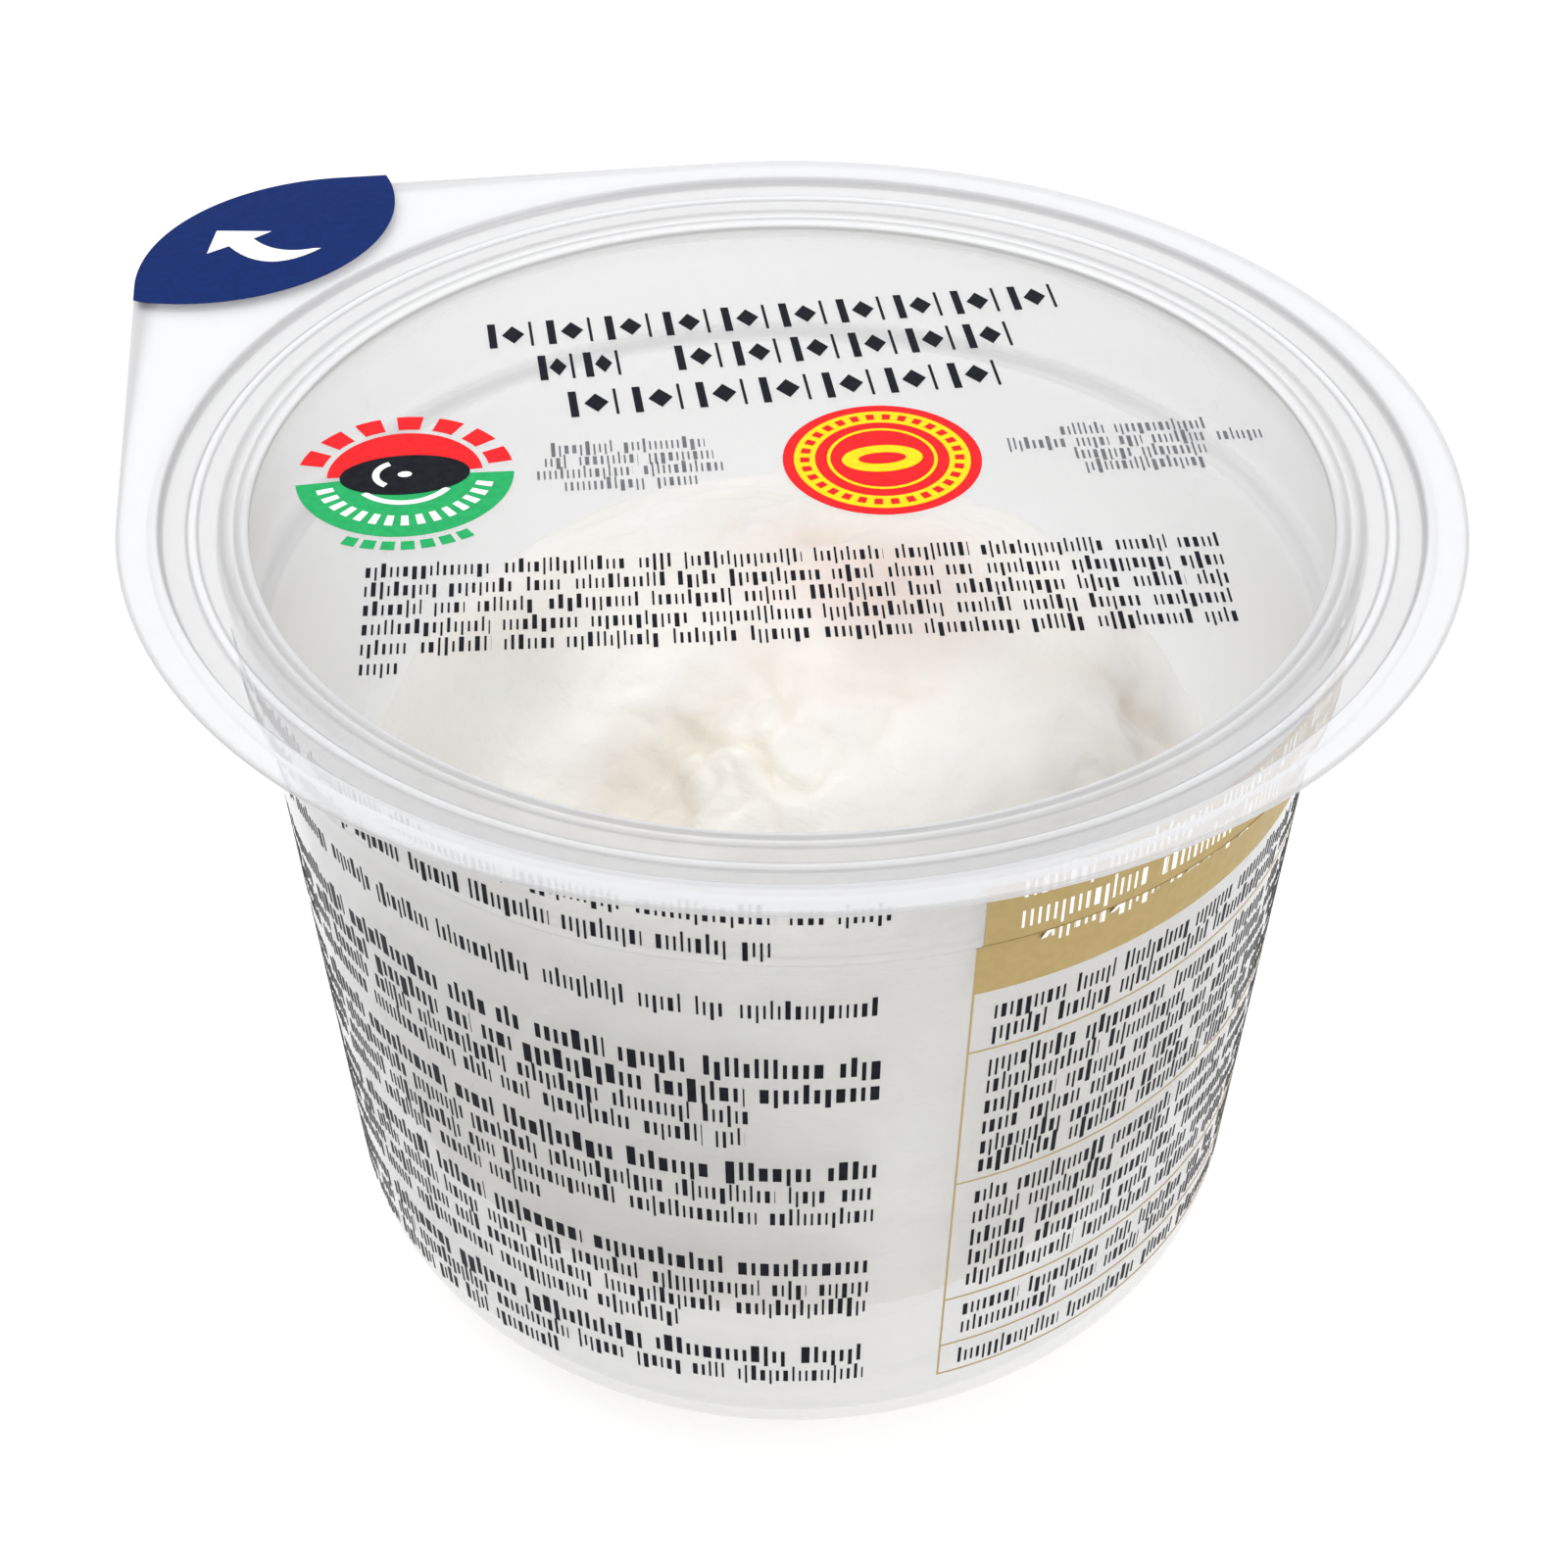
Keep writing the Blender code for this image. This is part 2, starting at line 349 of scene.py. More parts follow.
def clear_plastic(name, body, tint, face_on, edge_on, roughness, wave_scale, wave_height):
    """Thin clear plastic: see-through face on and milkier edge on, with a clean gloss and faint waviness.

    The mesh's milk attribute adds to the milkiness. Its tone runs from the painted shade of bends to the body
    to the sealed parts, whose colour is also the painted light at the cup's foot."""
    material, tree = new_material(name)
    output = node(tree, "ShaderNodeOutputMaterial")
    shader = node(tree, "ShaderNodeBsdfPrincipled", Roughness=roughness, IOR=1.49)
    clear = node(tree, "ShaderNodeBsdfTransparent")
    clear.inputs["Color"].default_value = (*tint, 1.0)
    waves = noise_texture(tree, wave_scale, 0.0)
    bump = node(tree, "ShaderNodeBump", Strength=1.0, Distance=wave_height)
    tree.links.new(waves.outputs["Fac"], bump.inputs["Height"])
    tree.links.new(bump.outputs["Normal"], shader.inputs["Normal"])
    facing = node(tree, "ShaderNodeLayerWeight", Blend=0.5)
    power = node(tree, "ShaderNodeMath", _operation="POWER")
    power.inputs[1].default_value = EDGE_POWER
    tree.links.new(facing.outputs["Facing"], power.inputs[0])
    share = node(tree, "ShaderNodeMapRange")
    share.inputs["To Min"].default_value = face_on
    share.inputs["To Max"].default_value = edge_on
    tree.links.new(power.outputs[0], share.inputs["Value"])
    milk = node(tree, "ShaderNodeAttribute", _attribute_name="milk")
    tone = node(tree, "ShaderNodeAttribute", _attribute_name="tone")
    shades = ramp(tree, tone.outputs["Fac"], [(0.0, PAINTED_BEND_SHADE), (BODY_TONE, body), (1.0, SEALED_AND_PAINTED_LIGHT_COLOUR)])
    tree.links.new(shades.outputs["Color"], shader.inputs["Base Color"])
    total = node(tree, "ShaderNodeMath", _operation="ADD", _use_clamp=True)
    tree.links.new(share.outputs["Result"], total.inputs[0])
    tree.links.new(milk.outputs["Fac"], total.inputs[1])
    mix = node(tree, "ShaderNodeMixShader")
    tree.links.new(total.outputs[0], mix.inputs[0])
    tree.links.new(clear.outputs[0], mix.inputs[1])
    tree.links.new(shader.outputs[0], mix.inputs[2])
    tree.links.new(mix.outputs[0], output.inputs["Surface"])
    return material


def ink(name, colour, spread, roughness=0.32):
    """Printed ink: one colour with slight mottling, thin and faintly glossy."""
    material, tree = new_material(name)
    output = node(tree, "ShaderNodeOutputMaterial")
    shader = node(tree, "ShaderNodeBsdfPrincipled", Roughness=roughness)
    shader.inputs["Specular IOR Level"].default_value = 0.03
    mottle = noise_texture(tree, 1400.0, 1.0)
    low = tuple(max(0.0, channel * (1.0 - spread)) for channel in colour)
    high = tuple(min(1.0, channel * (1.0 + spread)) for channel in colour)
    shades = ramp(tree, mottle.outputs["Fac"], [(0.35, low), (0.65, high)])
    tree.links.new(shades.outputs["Color"], shader.inputs["Base Color"])
    grain = node(tree, "ShaderNodeBump", Strength=0.15, Distance=0.00002)
    tree.links.new(mottle.outputs["Fac"], grain.inputs["Height"])
    tree.links.new(grain.outputs["Normal"], shader.inputs["Normal"])
    tree.links.new(shader.outputs[0], output.inputs["Surface"])
    return material


def cheese_material():
    """Moist fresh cheese: creamy white skin with painted warm shade in its creases and towards its foot, fine
    streaks and pits.
    """
    material, tree = new_material("mozzarella_skin")
    output = node(tree, "ShaderNodeOutputMaterial")
    shader = node(tree, "ShaderNodeBsdfPrincipled", Roughness=0.42)
    shader.subsurface_method = "BURLEY"
    shader.inputs["Subsurface Weight"].default_value = 0.55
    shader.inputs["Subsurface Radius"].default_value = (1.0, 0.78, 0.52)
    shader.inputs["Subsurface Scale"].default_value = 0.0035
    shader.inputs["Coat Weight"].default_value = 0.18
    shader.inputs["Coat Roughness"].default_value = 0.22
    patches = noise_texture(tree, 95.0, 4.0, 0.55)
    cream = ramp(tree, patches.outputs["Fac"], [(0.3, (0.88, 0.855, 0.79)), (0.72, (0.925, 0.92, 0.885))])
    # Painted shade: the stored shade mixes the cream towards a darker warm colour in creases, folds and at
    # the foot.
    hollow = node(tree, "ShaderNodeAttribute", _attribute_name="hollow")
    shade = node(tree, "ShaderNodeMix", _data_type="RGBA", _blend_type="MIX")
    shade.inputs[7].default_value = (0.72, 0.66, 0.55, 1.0)
    tree.links.new(hollow.outputs["Fac"], shade.inputs[0])
    tree.links.new(cream.outputs["Color"], shade.inputs[6])
    tree.links.new(shade.outputs[2], shader.inputs["Base Color"])
    coords = node(tree, "ShaderNodeTexCoord")
    stretch = node(tree, "ShaderNodeMapping")
    stretch.inputs["Scale"].default_value = (1.0, 1.0, 2.6)
    tree.links.new(coords.outputs["Object"], stretch.inputs["Vector"])
    streaks = node(tree, "ShaderNodeTexNoise", Scale=420.0, Detail=5.0, Roughness=0.6)
    tree.links.new(stretch.outputs["Vector"], streaks.inputs["Vector"])
    pits = node(tree, "ShaderNodeTexVoronoi", Scale=900.0)
    tree.links.new(coords.outputs["Object"], pits.inputs["Vector"])
    coarse = node(tree, "ShaderNodeBump", Strength=0.5, Distance=0.0005)
    tree.links.new(streaks.outputs["Fac"], coarse.inputs["Height"])
    fine = node(tree, "ShaderNodeBump", Strength=0.25, Distance=0.00012)
    tree.links.new(pits.outputs["Distance"], fine.inputs["Height"])
    tree.links.new(coarse.outputs["Normal"], fine.inputs["Normal"])
    tree.links.new(fine.outputs["Normal"], shader.inputs["Normal"])
    wet = ramp(tree, patches.outputs["Fac"], [(0.35, (0.34, 0.34, 0.34)), (0.7, (0.5, 0.5, 0.5))])
    tree.links.new(wet.outputs["Color"], shader.inputs["Roughness"])
    tree.links.new(shader.outputs[0], output.inputs["Surface"])
    return material


TUB_PLASTIC = clear_plastic(
    "milky_clear_plastic",
    body=(0.65, 0.65, 0.65),
    tint=(0.962, 0.962, 0.963),
    face_on=0.12,
    edge_on=0.9,
    roughness=0.16,
    wave_scale=55.0,
    wave_height=0.00003,
)
FILM_PLASTIC = clear_plastic(
    "clear_peel_film",
    body=(0.74, 0.742, 0.75),
    tint=(0.985, 0.985, 0.987),
    face_on=0.01,
    edge_on=0.35,
    roughness=0.08,
    wave_scale=40.0,
    wave_height=0.00003,
)
DARK_INK = ink("dark_ink", (0.009, 0.01, 0.014), 0.2)
GREY_INK = ink("grey_ink", (0.14, 0.145, 0.155), 0.15)
BLUE_INK = ink("blue_ink", (0.002, 0.018, 0.118), 0.08)
GOLD_INK = ink("gold_ink", (0.395, 0.295, 0.13), 0.03)
WHITE_INK = ink("white_ink", (0.88, 0.88, 0.87), 0.03)
RED_INK = ink("red_ink", (0.72, 0.018, 0.022), 0.06)
GREEN_INK = ink("green_ink", (0.022, 0.36, 0.115), 0.06)
YELLOW_INK = ink("yellow_ink", (0.93, 0.62, 0.015), 0.05)


# ------------------------------------------------------ tub and film


def store_look(piece, profile):
    """Stores the milkiness and the tone of each point of a turned piece, from its profile."""
    rows = [profile[0], profile[-1]] + [point for point in profile[1:-1] for _ in range(COLUMNS)]
    for i, name in ((2, "milk"), (3, "tone")):
        values = [row[i] for row in rows]
        piece.data.attributes.new(name, "FLOAT", "POINT").data.foreach_set("value", values)


def make_tub():
    profile = cup_profile()
    points, faces = turned_mesh(profile, COLUMNS, SPREAD_FROM)
    tub = add_mesh("tub_shell", points, faces, TUB_PLASTIC, 50.0)
    store_look(tub, profile)
    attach(tub, BODY)
    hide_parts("tub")


def make_film():
    """The flat film, with a rounded cut edge."""
    half = (FILM_TOP - FILM_UNDER) / 2.0
    flat_radii = (0.0, FILM_RING_RADIUS, SEAL_INNER_RADIUS)
    section = [(r, FILM_UNDER) for r in flat_radii]
    section += arc(EDGE_RADIUS - half, FILM_UNDER + half, half, -90.0, 90.0, 4)
    section += [(r, FILM_TOP) for r in flat_radii[::-1]]
    profile = [(r, z, *FILM_LOOK) for r, z in section]
    points, faces = turned_mesh(profile, COLUMNS, SPREAD_FROM)
    film = add_mesh("peel_film", points, faces, FILM_PLASTIC, 50.0)
    store_look(film, profile)
    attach(film, BODY)
    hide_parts("lid_film")


# ------------------------------------------------------ cheese

BALL_RADIUS = 34.0 * MM
BALL_HALF_HEIGHT = 29.2 * MM
BALL_POWER = 2.3
BALL_FOOT_RADIUS = 17.0 * MM
BALL_FLOOR = ball_low.z
BALL_GRID = 124
UNEVEN_HEIGHT = 0.5 * MM
UNEVEN_SIZE = 15.0 * MM

# Swellings: bearing and elevation in degrees, spread in degrees, height
LUMPS = (
    (170, 44, 20, 1.0 * MM),
    (20, 46, 18, 1.0 * MM),
    (-140, 40, 17, 1.1 * MM),
    (-62, 52, 13, 0.8 * MM),
    (-38, 36, 12, 1.0 * MM),
    (-88, 20, 22, 0.7 * MM),
    (95, 10, 24, 0.6 * MM),
)

# Creases: bearing and elevation of both ends in degrees, half width in degrees, depth
CREASES = (
    (-112, 74, -131, 42, 6.5, 1.5 * MM),
    (-128, 50, -100, 44, 7.0, 1.1 * MM),
    (-22, 52, -14, 22, 6.0, 0.8 * MM),
    (-98, 70, -58, 70, 6.0, 0.8 * MM),
    (128, 46, 62, 52, 5.5, 0.9 * MM),
)

# Finer folds and pits that only the skin shows, in the same form as the creases
FINE_FOLDS = (
    (-116, 66, -124, 58, 2.6, 0.6 * MM),
    (-126, 57, -133, 44, 2.2, 0.6 * MM),
    (-14, 38, -15, 30, 1.4, 0.7 * MM),
    (-30, 34, -23, 36, 2.0, 0.4 * MM),
    (66, 77, 58, 75, 2.4, 0.8 * MM),
    (58, 72, 50, 70, 1.8, 0.5 * MM),
    (112, 58, 88, 64, 1.2, 0.25 * MM),
    (-76, 67, -56, 62, 1.8, 0.45 * MM),
    (150, 30, 176, 22, 1.8, 0.4 * MM),
    (40, 30, 12, 20, 1.8, 0.4 * MM),
    (100, 20, 72, 8, 2.0, 0.4 * MM),
)

# Where the skin is torn into small curds: bearing, elevation and spread in degrees, and strength
TORN_PATCHES = (
    (-122, 54, 12, 1.0),
    (-106, 48, 12, 0.8),
    (-98, 62, 10, 0.35),
    (-18, 36, 8, 0.8),
    (-40, 40, 9, 0.45),
    (-66, 60, 10, 0.35),
    (80, 70, 14, 0.5),
    (60, 20, 18, 0.4),
    (160, 12, 18, 0.4),
    (-80, 2, 20, 0.3),
)
TORN_FLOOR = 0.1
CREASE_SHARE = 0.85
CURD_SIZE = 6.5 * MM
CURD_DEPTH = 0.75 * MM
SHRED_SIZE = 3.2 * MM
SHRED_DEPTH = 0.3 * MM
SEAM_SHARPNESS = 0.16
PIMPLE_SIZE = 4.5 * MM
PIMPLE_HEIGHT = 0.25 * MM
TORN_HEIGHT = 0.35 * MM
GRAIN_SIZE = 1.8 * MM
GRAIN_HEIGHT = 0.06 * MM

# Painted shade: warm darkening for each millimetre of depth in creases and folds, and towards the ball's foot
CREASE_SHADE = 0.2
FOLD_SHADE = 0.5
SHADE_START = 0.06
SHADE_LIMIT = 0.7
FOOT_SHADE = 0.9
FOOT_SHADE_TOP = 20.0 * MM


def unit(bearing, elevation):
    """Unit vector at a bearing from +X and an elevation above level, both in degrees."""
    turn, rise = math.radians(bearing), math.radians(elevation)
    return np.array([math.cos(rise) * math.cos(turn), math.cos(rise) * math.sin(turn), math.sin(rise)])


def away_from(directions, target):
    """Angles in degrees between unit vectors and one target."""
    return np.degrees(np.arccos(np.clip(directions @ target, -1.0, 1.0)))


def away_from_arc(directions, start, end):
    """Angles in degrees between unit vectors and the nearest points of the arc from start to end."""
    across = end - start
    share = np.clip((directions - start) @ across / (across @ across), 0.0, 1.0)
    nearest = start + share[:, None] * across
    nearest /= np.linalg.norm(nearest, axis=1)[:, None]
    return np.degrees(np.arccos(np.clip((directions * nearest).sum(1), -1.0, 1.0)))


def folds_relief(directions, folds):
    relief = np.zeros(len(directions))
    for bearing_a, rise_a, bearing_b, rise_b, half_width, depth in folds:
        away = away_from_arc(directions, unit(bearing_a, rise_a), unit(bearing_b, rise_b))
        relief -= depth * np.exp(-((away / half_width) ** 2))
    return relief


def noise_at(directions, size, shift=(0.0, 0.0, 0.0)):
    """Smooth noise on the ball's skin, with swells about size metres across."""
    scale = BALL_RADIUS / size
    offset = Vector(shift)
    return np.array([noise.noise(Vector(d) * scale + offset) for d in directions])


def sphere_grid(count):
    """Unit vectors and quads of a cube blown up to a sphere, with count cells along each edge."""
    index = {}
    directions, faces = [], []

    def corner(key):
        if key not in index:
            across = np.array([math.tan(math.pi / 4.0 * (2.0 * k / count - 1.0)) for k in key])
            index[key] = len(directions)
            directions.append(across / np.linalg.norm(across))
        return index[key]

    for axis in range(3):
        for side in (0, count):
            for i in range(count):
                for j in range(count):
                    loop = []
                    for a, b in ((i, j), (i + 1, j), (i + 1, j + 1), (i, j + 1)):
                        key = [a, b]
                        key.insert(axis, side)
                        loop.append(corner(tuple(key)))
                    outward = (side == count) == (axis != 1)
                    faces.append(tuple(loop if outward else loop[::-1]))
    return np.array(directions), faces


def seams(directions, size, shift):
    """Narrow valleys along the lines where smooth noise changes sign, from 0 between them to 1 in them."""
    wander = noise_at(directions, 2.5 * size, (shift[2], shift[0], shift[1]))
    values = noise_at(directions, size, shift) + 0.35 * wander
    return np.exp(-((values / SEAM_SHARPNESS) ** 2))


def torn_share(directions):
    """How torn the skin is, from a little everywhere to fully in the torn patches."""
    torn = np.full(len(directions), TORN_FLOOR)
    for bearing, elevation, spread, strength in TORN_PATCHES:
        torn += strength * np.exp(-((away_from(directions, unit(bearing, elevation)) / spread) ** 2))
    return torn


def ball_reliefs(directions):
    """The soft creases, the fine folds and the whole relief of the skin."""
    folds = folds_relief(directions, CREASES)
    fine = folds_relief(directions, FINE_FOLDS)
    torn = torn_share(directions)
    fine -= torn * CURD_DEPTH * seams(directions, CURD_SIZE, (3.1, 0.4, 7.7))
    fine -= torn * SHRED_DEPTH * seams(directions, SHRED_SIZE, (9.2, 5.5, 1.3))
    relief = CREASE_SHARE * folds + fine
    for bearing, elevation, spread, height in LUMPS:
        relief += height * np.exp(-((away_from(directions, unit(bearing, elevation)) / spread) ** 2))
    relief += UNEVEN_HEIGHT * noise_at(directions, UNEVEN_SIZE)
    relief += (PIMPLE_HEIGHT + TORN_HEIGHT * torn) * noise_at(directions, PIMPLE_SIZE, (1.7, 8.1, 2.2))
    relief += GRAIN_HEIGHT * noise_at(directions, GRAIN_SIZE, (6.2, 2.5, 4.3))
    return folds, fine, relief


def ball_points(directions, relief):
    """Points of the slumped ball, flat where it stands on the cup's floor, inside the frame's box."""
    level = np.hypot(directions[:, 0], directions[:, 1]) / BALL_RADIUS
    rise = np.abs(directions[:, 2]) / BALL_HALF_HEIGHT
    plain = (level**BALL_POWER + rise**BALL_POWER) ** (-1.0 / BALL_POWER)
    sink = (1.0 - (BALL_FOOT_RADIUS / BALL_RADIUS) ** BALL_POWER) ** (1.0 / BALL_POWER)
    middle = np.array([0.0, 0.0, BALL_FLOOR + BALL_HALF_HEIGHT * sink])
    points = middle + directions * (plain + relief)[:, None]
    points[:, 2] = np.maximum(points[:, 2], BALL_FLOOR)
    for i in range(3):
        points[:, i] = np.clip(points[:, i], ball_low[i], ball_high[i])
    return points


def make_ball():
    """The mozzarella ball: slumped and lumpy, with soft creases, torn patches of curd and an uneven skin."""
    directions, faces = sphere_grid(BALL_GRID)
    folds, fine, relief = ball_reliefs(directions)
    points = ball_points(directions, relief)
    ball = add_mesh("mozzarella", points, faces, cheese_material(), None)
    # Painted shade: darker by the depth of creases and folds, and towards the ball's foot.
    foot = np.clip((FOOT_SHADE_TOP - points[:, 2]) / FOOT_SHADE_TOP, 0.0, 1.0)
    hollow = np.clip(-(folds * CREASE_SHADE + fine * FOLD_SHADE) / MM - SHADE_START, 0.0, SHADE_LIMIT)
    attribute = ball.data.attributes.new("hollow", "FLOAT", "POINT")
    attribute.data.foreach_set("value", (hollow + FOOT_SHADE * foot).astype(np.float32))
    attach(ball, BODY)
    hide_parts("mozzarella_ball")


# ------------------------------------------------------ print

INK_LIFT = 0.02 * MM
INK_THICKNESS = 0.03 * MM
INK_LAYER = 0.04 * MM


class Sheet:
    """Closed thin plates gathered into one mesh. The function place carries a layout onto a surface."""

    def __init__(self):
        self.points = []
        self.faces = []

    def plate(self, outline, place):
        """Adds a plate with the given outline, a convex loop counter-clockwise seen from outside."""
        base = len(self.points)
        count = len(outline)
        for lift in (INK_LIFT, INK_LIFT + INK_THICKNESS):
            self.points += [place(u, v, lift) for u, v in outline]
        self.faces.append(tuple(base + i for i in range(count))[::-1])
        self.faces.append(tuple(base + count + i for i in range(count)))
        for i in range(count):
            j = (i + 1) % count
            self.faces.append((base + i, base + j, base + count + j, base + count + i))

    def strip(self, low_side, high_side, place):
        """Adds a plate between two lines of as many points: a band that can bend with the surface."""
        base = len(self.points)
        count = len(low_side)
        for lift in (INK_LIFT, INK_LIFT + INK_THICKNESS):
            self.points += [place(u, v, lift) for u, v in low_side]
            self.points += [place(u, v, lift) for u, v in high_side]
        under_low, under_high = base, base + count
        over_low, over_high = base + 2 * count, base + 3 * count
        for i in range(count - 1):
            self.faces.append((under_low + i, under_high + i, under_high + i + 1, under_low + i + 1))
            self.faces.append((over_low + i, over_low + i + 1, over_high + i + 1, over_high + i))
            self.faces.append((under_low + i, under_low + i + 1, over_low + i + 1, over_low + i))
            self.faces.append((under_high + i + 1, under_high + i, over_high + i, over_high + i + 1))
        end = count - 1
        self.faces.append((under_high, under_low, over_low, over_high))
        self.faces.append((under_low + end, under_high + end, over_high + end, over_low + end))

    def build(self, name, material, slot_name):
        piece = add_mesh(name, self.points, self.faces, material, 30.0)
        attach(piece, BODY)
        return piece


def on_film(x, y, tilt=0.0, lift_more=0.0):
    """Places a flat layout on the film's top, turned by tilt degrees about its own origin at x, y."""
    cosine, sine = math.cos(math.radians(tilt)), math.sin(math.radians(tilt))

    def place(u, v, lift):
        return (x + u * cosine - v * sine, y + u * sine + v * cosine, FILM_TOP + lift + lift_more)

    return place


def on_wall(u, v, lift):
    """Places a layout on the cup's outer wall: u is a bearing in degrees and v a height."""
    reach = outer_wall_radius(v) + lift
    bearing = math.radians(u)
    return (reach * math.cos(bearing), reach * math.sin(bearing), v)


def wall_box(sheet, left, right, low, high, rows=1, place=on_wall):
    """A rectangle on the wall between two bearings and two heights, bent with the wall."""
    columns = max(2, math.ceil((right - left) / 1.5) + 1)
    bearings = [left + (right - left) * i / (columns - 1) for i in range(columns)]
    for r in range(rows):
        bottom = low + (high - low) * r / rows
        top = low + (high - low) * (r + 1) / rows
        sheet.strip([(b, bottom) for b in bearings], [(b, top) for b in bearings], place)


def word_lengths(rng, total, shortest, longest, gap):
    """Word lengths that fill a line of the given total length."""
    lengths = []
    left = total
    while left > shortest:
        length = min(left, rng.uniform(shortest, longest))
        if left - length - gap < shortest:
            length = left
        lengths.append(length)
        left -= length + gap
    return lengths


def text_boxes(rng, total, height, bold=False):
    """One line of text as plain upright marks: boxes of left, low, width and tall, with gaps."""
    weight = 1.6 if bold else 1.0
    boxes = []
    start = 0.0
    for length in word_lengths(rng, total, 1.5 * height, 7.5 * height, 0.75 * height):
        at = start
        while at < start + length:
            width = min(weight * rng.choice((0.13, 0.13, 0.18, 0.28)) * height, start + length - at)
            above = rng.choice((1.0, 1.0, 1.0, 1.4)) * height
            below = rng.choice((0.0, 0.0, 0.0, 0.0, 0.32)) * height
            boxes.append((at, -below, width, above + below))
            at += width + 0.25 * height
        start += length + 0.75 * height
    return boxes


def film_line(sheet, place, left, right, baseline, height, rng, bold=False):
    """One line of a text block on the film."""
    for at, low, width, tall in text_boxes(rng, right - left, height, bold):
        u, v = left + at, baseline + low
        sheet.plate([(u, v), (u + width, v), (u + width, v + tall), (u, v + tall)], place)


def wall_line(sheet, left, right, baseline, height, rng, bold=False):
    """One line of a text block on the wall. left and right are bearings in degrees."""
    degree = math.radians(1.0) * outer_wall_radius(baseline)
    for at, low, width, tall in text_boxes(rng, (right - left) * degree, height, bold):
        u, v = left + at / degree, baseline + low
        across = width / degree
        sheet.plate([(u, v), (u + across, v), (u + across, v + tall), (u, v + tall)], on_wall)


def ring_sector(sheet, place, inner, outer, start, end, step=4.0):
    """A band between two radii and two angles in degrees, about the layout's origin."""
    count = max(2, math.ceil((end - start) / step) + 1)
    angles = [math.radians(start + (end - start) * i / (count - 1)) for i in range(count)]
    near = [(inner * math.cos(a), inner * math.sin(a)) for a in angles]
    far = [(outer * math.cos(a), outer * math.sin(a)) for a in angles]
    sheet.strip(far, near, place)


def disc(sheet, place, radius_x, radius_y, count=64):
    angles = [2.0 * math.pi * i / count for i in range(count)]
    sheet.plate([(radius_x * math.cos(a), radius_y * math.sin(a)) for a in angles], place)


# Rows of the large print: centre in mm, and length and number of motifs of each word
TITLE_HEIGHT = 3.5
TITLE_ROWS = (
    (1.4, 21.0, ((44.6, 10),)),
    (1.0, 15.9, ((6.8, 2), (26.4, 6))),
    (1.0, 10.5, ((33.0, 7),)),
)
TITLE_WORD_GAP = 3.4
TITLE_TILT = 1.2
STEM_WIDTH = 0.6
HAIR_WIDTH = 0.22


def title_motif(left, width):
    """Outlines of the ornament that repeats along a row, in mm: a stem, a lozenge and a fine bar."""
    half = TITLE_HEIGHT / 2.0
    stem = left + 0.08 * width
    middle = left + 0.5 * width
    hair = left + 0.78 * width
    reach = 0.19 * width
    return (
        ((stem, -half), (stem + STEM_WIDTH, -half), (stem + STEM_WIDTH, half), (stem, half)),
        ((middle - reach, 0.0), (middle, -0.72 * half), (middle + reach, 0.0), (middle, 0.72 * half)),
        ((hair, -half), (hair + HAIR_WIDTH, -half), (hair + HAIR_WIDTH, half), (hair, half)),
    )


def make_title():
    """Three centred rows of one plain ornament, where the pack has its large type."""
    sheet = Sheet()
    for centre, middle, words in TITLE_ROWS:
        total = sum(length for length, _ in words) + TITLE_WORD_GAP * (len(words) - 1)
        place = on_film(centre * MM, middle * MM, TITLE_TILT)
        start = -total / 2.0
        for length, count in words:
            width = length / count
            for i in range(count):
                for outline in title_motif(start + i * width, width):
                    sheet.plate([(u * MM, v * MM) for u, v in outline], place)
            start += length + TITLE_WORD_GAP
    sheet.build("title_marks", DARK_INK, "dark_print")


# Text on the film, in mm: each block's place and tilt, first baseline, and the widths of its centred rows
SMALL_BLOCKS = (
    (-11.4, 1.9, -1.5, 1.6, (11.0, 12.0, 13.2, 9.4)),
    (25.0, -0.6, -2.0, 2.2, (10.6, 18.6, 9.4, 8.4)),
)
SMALL_PITCH = 1.6
SMALL_HEIGHT = 1.05 * MM
PARAGRAPH_PLACE = (-30.3 * MM, -10.15 * MM, -3.2)
PARAGRAPH_WIDTHS = (58.2, 58.2, 58.2, 58.2, 58.2, 2.6)
PARAGRAPH_PITCH = 2.2
PARAGRAPH_HEIGHT = 1.15 * MM


def make_film_text():
    """The small blocks beside the seals and the paragraph below them, as rows of plain marks."""
    rng = random.Random(11)
    small = Sheet()
    for x, y, tilt, top, widths in SMALL_BLOCKS:
        place = on_film(x * MM, y * MM, tilt)
        for i, width in enumerate(widths):
            baseline = (top - SMALL_PITCH * i) * MM
            film_line(small, place, -width / 2 * MM, width / 2 * MM, baseline, SMALL_HEIGHT, rng)
    small.build("small_text_marks", GREY_INK, "dark_print")
    paragraph = Sheet()
    place = on_film(*PARAGRAPH_PLACE)
    for i, width in enumerate(PARAGRAPH_WIDTHS):
        film_line(paragraph, place, 0.0, width * MM, -PARAGRAPH_PITCH * i * MM, PARAGRAPH_HEIGHT, rng)
    paragraph.build("paragraph_marks", DARK_INK, "dark_print")


def ring_dashes(sheet, place, inner, outer, start, end, count, filled):
    """Short arcs with gaps between them: each takes the filled share of its step."""
    step = (end - start) / count
    for i in range(count):
        ring_sector(sheet, place, inner, outer, start + i * step, start + (i + filled) * step)


